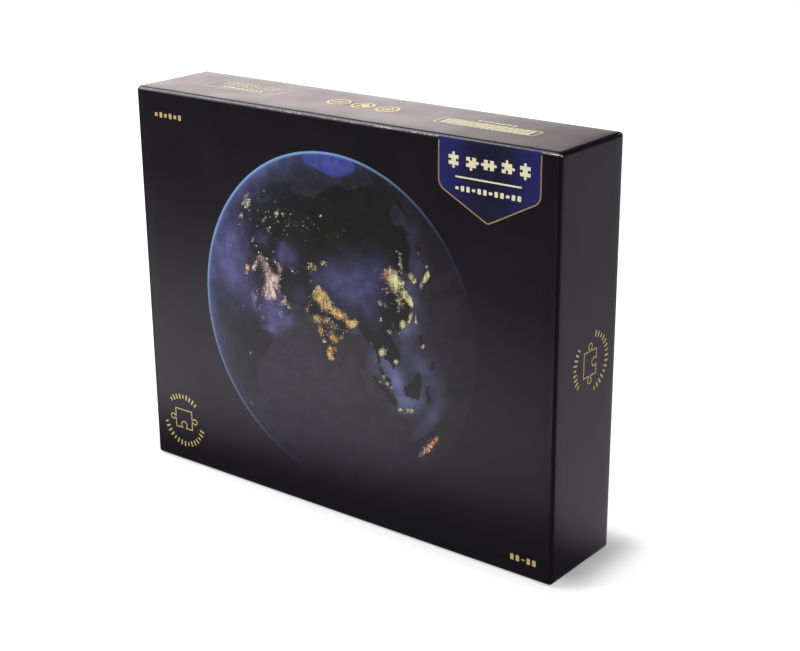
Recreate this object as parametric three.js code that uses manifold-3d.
// Boxed jigsaw puzzle: a rigid box in two full-depth halves, and what lies inside it.
//
// Millimetres. The box stands on a long edge. The origin is the middle of its footprint,
// +X runs along the long side, +Y from the picture face to the back, and +Z is up.
// The lid is the half with the picture face, at -Y. The base slides into it from +Y.

import * as THREE from 'three';
import { RoundedBoxGeometry } from 'three/addons/geometries/RoundedBoxGeometry.js';
import { mergeVertices } from 'three/addons/utils/BufferGeometryUtils.js';
import Module from 'manifold-3d';

const wasm = await Module();
wasm.setup();

// ---- driving dimensions ----

const boxWidth = 270;
const boxHeight = 215;
const boxDepth = 55;
const basePeek = 2;

const paper = 0.25;
const glueLine = 0.25;
const greyboard = 1.5;
const turnInGap = 0.05;
const turnInDepth = 16;
const foldRadius = 2.4;
const cornerSlit = 0.15;
const slideFit = 0.7;
const lidHeadroom = 0.8;

const stayPaper = 0.2;
const stayLeg = 18;
const stayShort = 3;

const film = 0.25;
const bagHalfWidth = 61.5;
const bagSpacing = 130.4;
const bagBevel = 5;
const bagFoot = 8;
const bagShoulder = 136;
const bagTop = 156;
const bagEase = 4;
const bagClear = 0.3;
const neckHalf = 2;
const ventRadius = 3;
const ventRise = 6;
const sealHeight = 12;
const sealThickness = 0.6;

const pieceSize = 19;
const pieceThickness = 2;
const pieceGap = 0.35;
const pieceColumns = 3;
const pieceRows = 4;
const pieceColumnPitch = 34;
const pieceRowPitch = 30;
const pieceFirstRow = 14;
const pieceTurn = THREE.MathUtils.degToRad(137);
const knobRadius = 3.1;
const knobReach = 3.3;
const knobNeck = 1.7;

const poster = { width: 210, height: 148.5, layers: 4, paper: 0.3, gap: 0.15 };
const leaflet = { width: 100, height: 140, layers: 2, paper: 0.25, gap: 0.1, middleX: -60 };
const sheetGap = 0.25;

// How far a cutting solid passes what it cuts, and how far it starts inside a hollow.
const cutPast = 1;
const cutInto = 0.1;

// ---- depths below the outside of a wrapped half ----

const boardOuter = paper + glueLine;
const boardInner = boardOuter + greyboard;
const turnInOuter = boardInner + turnInGap;
const turnInInner = turnInOuter + paper;
const baseInset = turnInInner + slideFit;

const middle = boxHeight / 2;
const front = -boxDepth / 2;
const back = boxDepth / 2;

// closed is the plane of the half's large face, and rim the plane of its open edge
const lid = { halfX: boxWidth / 2, halfZ: boxHeight / 2, closed: front, rim: back - basePeek };
const base = {
  halfX: lid.halfX - baseInset,
  halfZ: lid.halfZ - baseInset,
  closed: back,
  rim: front + boardInner + lidHeadroom,
};

const trayFloor = middle - base.halfZ + turnInInner;
const trayBack = base.closed - boardInner;

const bag = {
  bottom: trayFloor + bagClear,
  back: trayBack - bagClear,
  frontLow: -17.5,
  frontHigh: -11,
  topY: 8,
};

// ---- materials ----

const finish = (color, roughness, extra = {}) =>
  new THREE.MeshStandardMaterial({ color, roughness, metalness: 0, ...extra });

const palette = {
  lidPrint: () => finish('#15141c', 0.38),
  basePrint: () => finish('#131318', 0.45),
  board: () => finish('#8d8980', 0.9),
  stay: () => finish('#b4936a', 0.85),
  film: () => finish('#e8eef2', 0.12, { transparent: true, opacity: 0.3 }),
  pieces: () => finish('#272a3c', 0.5),
  poster: () => finish('#22243a', 0.5),
  leaflet: () => finish('#ece9e2', 0.7),
};

// ---- mesh helpers ----

// A closed three.js geometry as a solid that can be cut and joined.
function solid(geometry) {
  const bare = geometry.index ? geometry.toNonIndexed() : geometry.clone();
  bare.deleteAttribute('normal');
  bare.deleteAttribute('uv');
  const merged = mergeVertices(bare, 1e-4);
  const vertProperties = new Float32Array(merged.attributes.position.array);
  const triVerts = new Uint32Array(merged.index.array);
  return new wasm.Manifold(new wasm.Mesh({ numProp: 3, vertProperties, triVerts }));
}

// The solid as a three.js geometry again.
function skin(body) {
  const mesh = body.getMesh();
  const geometry = new THREE.BufferGeometry();
  geometry.setAttribute('position', new THREE.BufferAttribute(mesh.vertProperties, 3));
  geometry.setIndex(new THREE.BufferAttribute(mesh.triVerts, 1));
  geometry.computeVertexNormals();
  return geometry;
}

function named(name, geometry, material) {
  const mesh = new THREE.Mesh(geometry, material);
  mesh.name = name;
  return mesh;
}

function box(low, high) {
  const size = high.map((value, axis) => value - low[axis]);
  const centre = high.map((value, axis) => (value + low[axis]) / 2);
  return new THREE.BoxGeometry(...size).translate(...centre);
}

// ---- the two halves of the box ----

// The stretch of Y inside a half, from its closed face and from its rim, low end first.
function depthSpan(half, fromClosed, fromRim) {
  const inward = Math.sign(half.rim - half.closed);
  const ends = [half.closed + inward * fromClosed, half.rim - inward * fromRim];
  return [Math.min(...ends), Math.max(...ends)];
}

// A block inside a half: inset from its four sides, from its closed face and from its rim.
function block(half, inset, fromClosed, fromRim) {
  const [low, high] = depthSpan(half, fromClosed, fromRim);
  const x = half.halfX - inset;
  const z = half.halfZ - inset;
  return solid(box([-x, low, middle - z], [x, high, middle + z]));
}

// The same block with round edges, but for those at its open end.
function foldedBlock(half, inset, fromClosed, fromRim) {
  const radius = foldRadius - inset;
  const [low, high] = depthSpan(half, fromClosed, fromRim - 2 * foldRadius);
  const size = [2 * (half.halfX - inset), high - low, 2 * (half.halfZ - inset)];
  const shape = new RoundedBoxGeometry(...size, 1, radius);
  shape.translate(0, (low + high) / 2, middle);
  return solid(shape).intersect(block(half, inset, fromClosed, fromRim));
}

// One sheet of paper: over the outside, round the rim and turned in along the walls.
function wrap(half) {
  const depth = Math.abs(half.rim - half.closed);
  const outside = foldedBlock(half, 0, 0, 0);
  const pocket = foldedBlock(half, paper, paper, paper);
  const mouth = block(half, turnInInner, depth / 2, -cutPast);
  const turnIn = block(half, turnInOuter, depth - turnInDepth, paper / 2).subtract(mouth);
  return skin(outside.subtract(pocket).subtract(mouth).add(turnIn));
}

// The cut between two walls of a board at one corner, where they meet but aren't joined.
function cornerCut(half, sideX, sideZ) {
  const [low, high] = depthSpan(half, boardInner, -cutPast);
  const x = [half.halfX - boardInner - cutInto, half.halfX].map((value) => sideX * value);
  const wall = half.halfZ - boardInner;
  const z = [wall - cornerSlit, wall].map((value) => middle + sideZ * value);
  return solid(box([Math.min(...x), low, Math.min(...z)], [Math.max(...x), high, Math.max(...z)]));
}

// One scored blank folded into a tray.
function board(half) {
  let tray = foldedBlock(half, boardOuter, boardOuter, boardOuter);
  tray = tray.subtract(block(half, boardInner, boardInner, -cutPast));
  for (const sideX of [-1, 1]) {
    for (const sideZ of [-1, 1]) {
      tray = tray.subtract(cornerCut(half, sideX, sideZ));
    }
  }
  return skin(tray);
}

// The corner of a half that a stay reaches over.
function stayReach(half, sideX, sideZ) {
  const [low, high] = depthSpan(half, stayShort, stayShort);
  const x = [half.halfX - stayLeg, half.halfX].map((value) => sideX * value);
  const z = [half.halfZ - stayLeg, half.halfZ].map((value) => middle + sideZ * value);
  return solid(box([Math.min(...x), low, Math.min(...z)], [Math.max(...x), high, Math.max(...z)]));
}

// A strip of kraft paper folded round each corner, between the board and the wrap.
function cornerStays(half, prefix) {
  const outer = paper + (glueLine - stayPaper) / 2;
  const inner = outer + stayPaper;
  const band = foldedBlock(half, outer, outer, 0).subtract(foldedBlock(half, inner, inner, -cutPast));
  const stays = [];
  for (const sideX of [-1, 1]) {
    for (const sideZ of [-1, 1]) {
      const side = sideX < 0 ? 'left' : 'right';
      const level = sideZ < 0 ? 'lower' : 'upper';
      const shape = skin(band.intersect(stayReach(half, sideX, sideZ)));
      stays.push(named(`${prefix}_corner_stay_${level}_${side}`, shape, palette.stay()));
    }
  }
  return stays;
}

function lidHalf() {
  const group = new THREE.Group();
  group.add(named('lid_wrap', wrap(lid), palette.lidPrint()));
  group.add(named('lid_board', board(lid), palette.board()));
  group.add(...cornerStays(lid, 'lid'));
  return group;
}

function baseHalf() {
  const group = new THREE.Group();
  group.add(named('base_wrap', wrap(base), palette.basePrint()));
  group.add(named('base_board', board(base), palette.board()));
  group.add(...cornerStays(base, 'base'));
  return group;
}

// ---- bags of pieces ----

// A filled bag stands in the tray, full at the bottom and thin at the top.
const frontSlope = Math.atan((bag.frontHigh - bag.frontLow) / (bagShoulder - bag.bottom - bagFoot));

// The bag's side view drawn with Y to the right and Z up, moved inwards by inset, and by
// frontInset along the front.
function bagProfile(inset, frontInset, shoulder) {
  const low = bag.bottom + inset;
  const rear = bag.back - inset;
  const rise = Math.tan(frontSlope);
  const frontAt = (z) => bag.frontLow + frontInset + (z - bag.bottom - bagFoot) * rise;
  const eased = bagTop - bagEase;
  const shape = new THREE.Shape();
  shape.moveTo(rear - bagFoot, low);
  shape.quadraticCurveTo(rear, low, rear, low + bagFoot);
  shape.lineTo(rear, shoulder);
  shape.quadraticCurveTo(rear - neckHalf, eased, bag.topY + neckHalf, bagTop - inset);
  shape.lineTo(bag.topY - neckHalf, bagTop - inset);
  shape.quadraticCurveTo(frontAt(shoulder) + bagEase, eased, frontAt(shoulder), shoulder);
  shape.lineTo(frontAt(low + bagFoot), low + bagFoot);
  shape.quadraticCurveTo(frontAt(low), low, frontAt(low) + bagFoot, low);
  shape.closePath();
  return shape;
}

// A side view made solid across the width of a bag, with its two ends rounded.
function acrossX(shape, halfWidth, bevel) {
  const geometry = new THREE.ExtrudeGeometry(shape, {
    depth: 2 * (halfWidth - bevel),
    bevelEnabled: true,
    bevelThickness: bevel,
    bevelSize: bevel,
    bevelOffset: -bevel,
    bevelSegments: 3,
    curveSegments: 5,
  });
  geometry.translate(0, 0, bevel - halfWidth);
  const turn = new THREE.Matrix4().makeBasis(
    new THREE.Vector3(0, 1, 0),
    new THREE.Vector3(0, 0, 1),
    new THREE.Vector3(1, 0, 0),
  );
  return geometry.applyMatrix4(turn);
}

// Clear film, sealed along the top, with a punched hole that lets the air out.
function bagFilm() {
  const outside = solid(acrossX(bagProfile(0, 0, bagShoulder), bagHalfWidth, bagBevel));
  const inside = acrossX(bagProfile(film, film, bagShoulder), bagHalfWidth - film, bagBevel - film);
  const sealEnd = bagHalfWidth - bagBevel;
  const seal = solid(box(
    [-sealEnd, bag.topY - sealThickness / 2, bagTop - neckHalf],
    [sealEnd, bag.topY + sealThickness / 2, bagTop + sealHeight],
  ));
  const reach = bag.topY - front;
  const vent = new THREE.CylinderGeometry(ventRadius, ventRadius, reach, 16);
  vent.translate(0, bag.topY - reach / 2, bagShoulder + ventRise);
  return skin(outside.add(seal).subtract(solid(inside)).subtract(solid(vent)));
}

// The loose pieces as one soft solid. It fills its bag but for the pieces that lie at the front.
function heap() {
  const side = film + pieceGap;
  const frontInset = film + pieceThickness + 3 * pieceGap;
  return acrossX(bagProfile(side, frontInset, bagShoulder - bagEase), bagHalfWidth - side, bagBevel);
}

// One side of a jigsaw piece, from the left along +X, with a knob (1), a socket (-1) or none.
function pieceSide(path, kind, turn, corner) {
  const place = (x, z) => new THREE.Vector2(x, z).rotateAround(new THREE.Vector2(0, 0), turn).add(corner);
  const half = pieceSize / 2;
  if (kind !== 0) {
    const rise = knobReach - Math.sqrt(knobRadius ** 2 - knobNeck ** 2);
    const centre = place(half, -kind * knobReach);
    const open = Math.asin(knobNeck / knobRadius);
    const away = kind > 0 ? -Math.PI / 2 : Math.PI / 2;
    const begin = away + Math.PI + kind * open + turn;
    const last = away + Math.PI - kind * open + turn;
    const mouth = place(half - knobNeck, 0);
    path.lineTo(mouth.x, mouth.y);
    const neck = place(half - knobNeck, -kind * rise);
    path.lineTo(neck.x, neck.y);
    path.absarc(centre.x, centre.y, knobRadius, begin, last, kind < 0);
    const leave = place(half + knobNeck, 0);
    path.lineTo(leave.x, leave.y);
  }
  const end = place(pieceSize, 0);
  path.lineTo(end.x, end.y);
  return end;
}

// sides run bottom, right, top, left
function pieceOutline(sides) {
  const half = pieceSize / 2;
  const path = new THREE.Shape();
  let corner = new THREE.Vector2(-half, -half);
  path.moveTo(corner.x, corner.y);
  sides.forEach((kind, index) => {
    corner = pieceSide(path, kind, index * Math.PI / 2, corner);
  });
  return path;
}

const pieceKinds = [
  [1, -1, 1, -1],
  [1, 1, -1, -1],
  [0, 1, -1, 1],
  [-1, -1, 1, 1],
  [1, -1, -1, -1],
  [0, -1, 1, -1],
  [1, 1, 1, -1],
];

// One piece, its printed side towards -Y, set in from the bag's front by the film and a gap.
function jigsawPiece(sides) {
  const outline = pieceOutline(sides);
  const options = { depth: pieceThickness, bevelEnabled: false, curveSegments: 8 };
  const geometry = new THREE.ExtrudeGeometry(outline, options);
  return geometry.rotateX(Math.PI / 2).translate(0, film + pieceGap + pieceThickness, 0);
}

// The pieces that lie flat against the front of a bag, each one turned its own way.
function loosePieces(side, firstKind) {
  const group = new THREE.Group();
  group.position.set(0, bag.frontLow, bag.bottom + bagFoot);
  group.rotation.x = -frontSlope;
  for (let row = 0; row < pieceRows; row += 1) {
    for (let column = 0; column < pieceColumns; column += 1) {
      const index = row * pieceColumns + column;
      const shape = jigsawPiece(pieceKinds[(firstKind + index) % pieceKinds.length]);
      const number = String(index + 1).padStart(2, '0');
      const piece = named(`jigsaw_piece_${side}_${number}`, shape, palette.pieces());
      piece.position.x = (column - (pieceColumns - 1) / 2) * pieceColumnPitch;
      piece.position.z = pieceFirstRow + row * pieceRowPitch;
      piece.rotation.y = (firstKind + index) * pieceTurn;
      group.add(piece);
    }
  }
  return group;
}

function bagOfPieces(side, sideX, firstKind) {
  const group = new THREE.Group();
  group.position.x = sideX * bagSpacing / 2;
  group.add(named(`bag_film_${side}`, bagFilm(), palette.film()));
  group.add(named(`piece_heap_${side}`, heap(), palette.pieces()));
  group.add(loosePieces(side, firstKind));
  return group;
}

// ---- printed sheets ----

// A line of square turns drawn with a broad pen: the section of a folded sheet.
function strokeOutline(line, width) {
  const edge = (sign) => line.map((point, index) => {
    const before = index > 0 ? line[index].clone().sub(line[index - 1]).normalize() : null;
    const after = index < line.length - 1 ? line[index + 1].clone().sub(point).normalize() : null;
    const offset = new THREE.Vector2();
    for (const run of [before, after]) {
      if (run) offset.add(new THREE.Vector2(-run.y, run.x));
    }
    return point.clone().addScaledVector(offset, sign * width / 2);
  });
  return new THREE.Shape([...edge(-1), ...edge(1).reverse()]);
}

// A sheet folded back and forth into layers, standing on its folded edge.
function foldedSheet(sheet) {
  const reach = (sheet.width - sheet.paper) / 2;
  const line = [];
  for (let layer = 0; layer < sheet.layers; layer += 1) {
    const y = layer * (sheet.paper + sheet.gap) + sheet.paper / 2;
    const ends = [new THREE.Vector2(-reach, y), new THREE.Vector2(reach, y)];
    line.push(...(layer % 2 === 0 ? ends : ends.reverse()));
  }
  const outline = strokeOutline(line, sheet.paper);
  return new THREE.ExtrudeGeometry(outline, { depth: sheet.height, bevelEnabled: false });
}

const foldedDepth = (sheet) => sheet.layers * (sheet.paper + sheet.gap) - sheet.gap;

// The leaflet and then the poster, between the lid's face and the bags.
function printedSheets() {
  const group = new THREE.Group();
  const floor = trayFloor + bagClear;
  const leafletFront = base.rim + sheetGap;
  const posterFront = leafletFront + foldedDepth(leaflet) + sheetGap;
  const small = named('leaflet', foldedSheet(leaflet), palette.leaflet());
  small.position.set(leaflet.middleX, leafletFront, floor);
  const large = named('folded_poster', foldedSheet(poster), palette.poster());
  large.position.set(0, posterFront, floor);
  group.add(small, large);
  return group;
}

// ---- assembly ----

const puzzleBox = new THREE.Group();
puzzleBox.add(lidHalf());
puzzleBox.add(baseHalf());
puzzleBox.add(bagOfPieces('left', -1, 0));
puzzleBox.add(bagOfPieces('right', 1, 4));
puzzleBox.add(printedSheets());

export default puzzleBox;
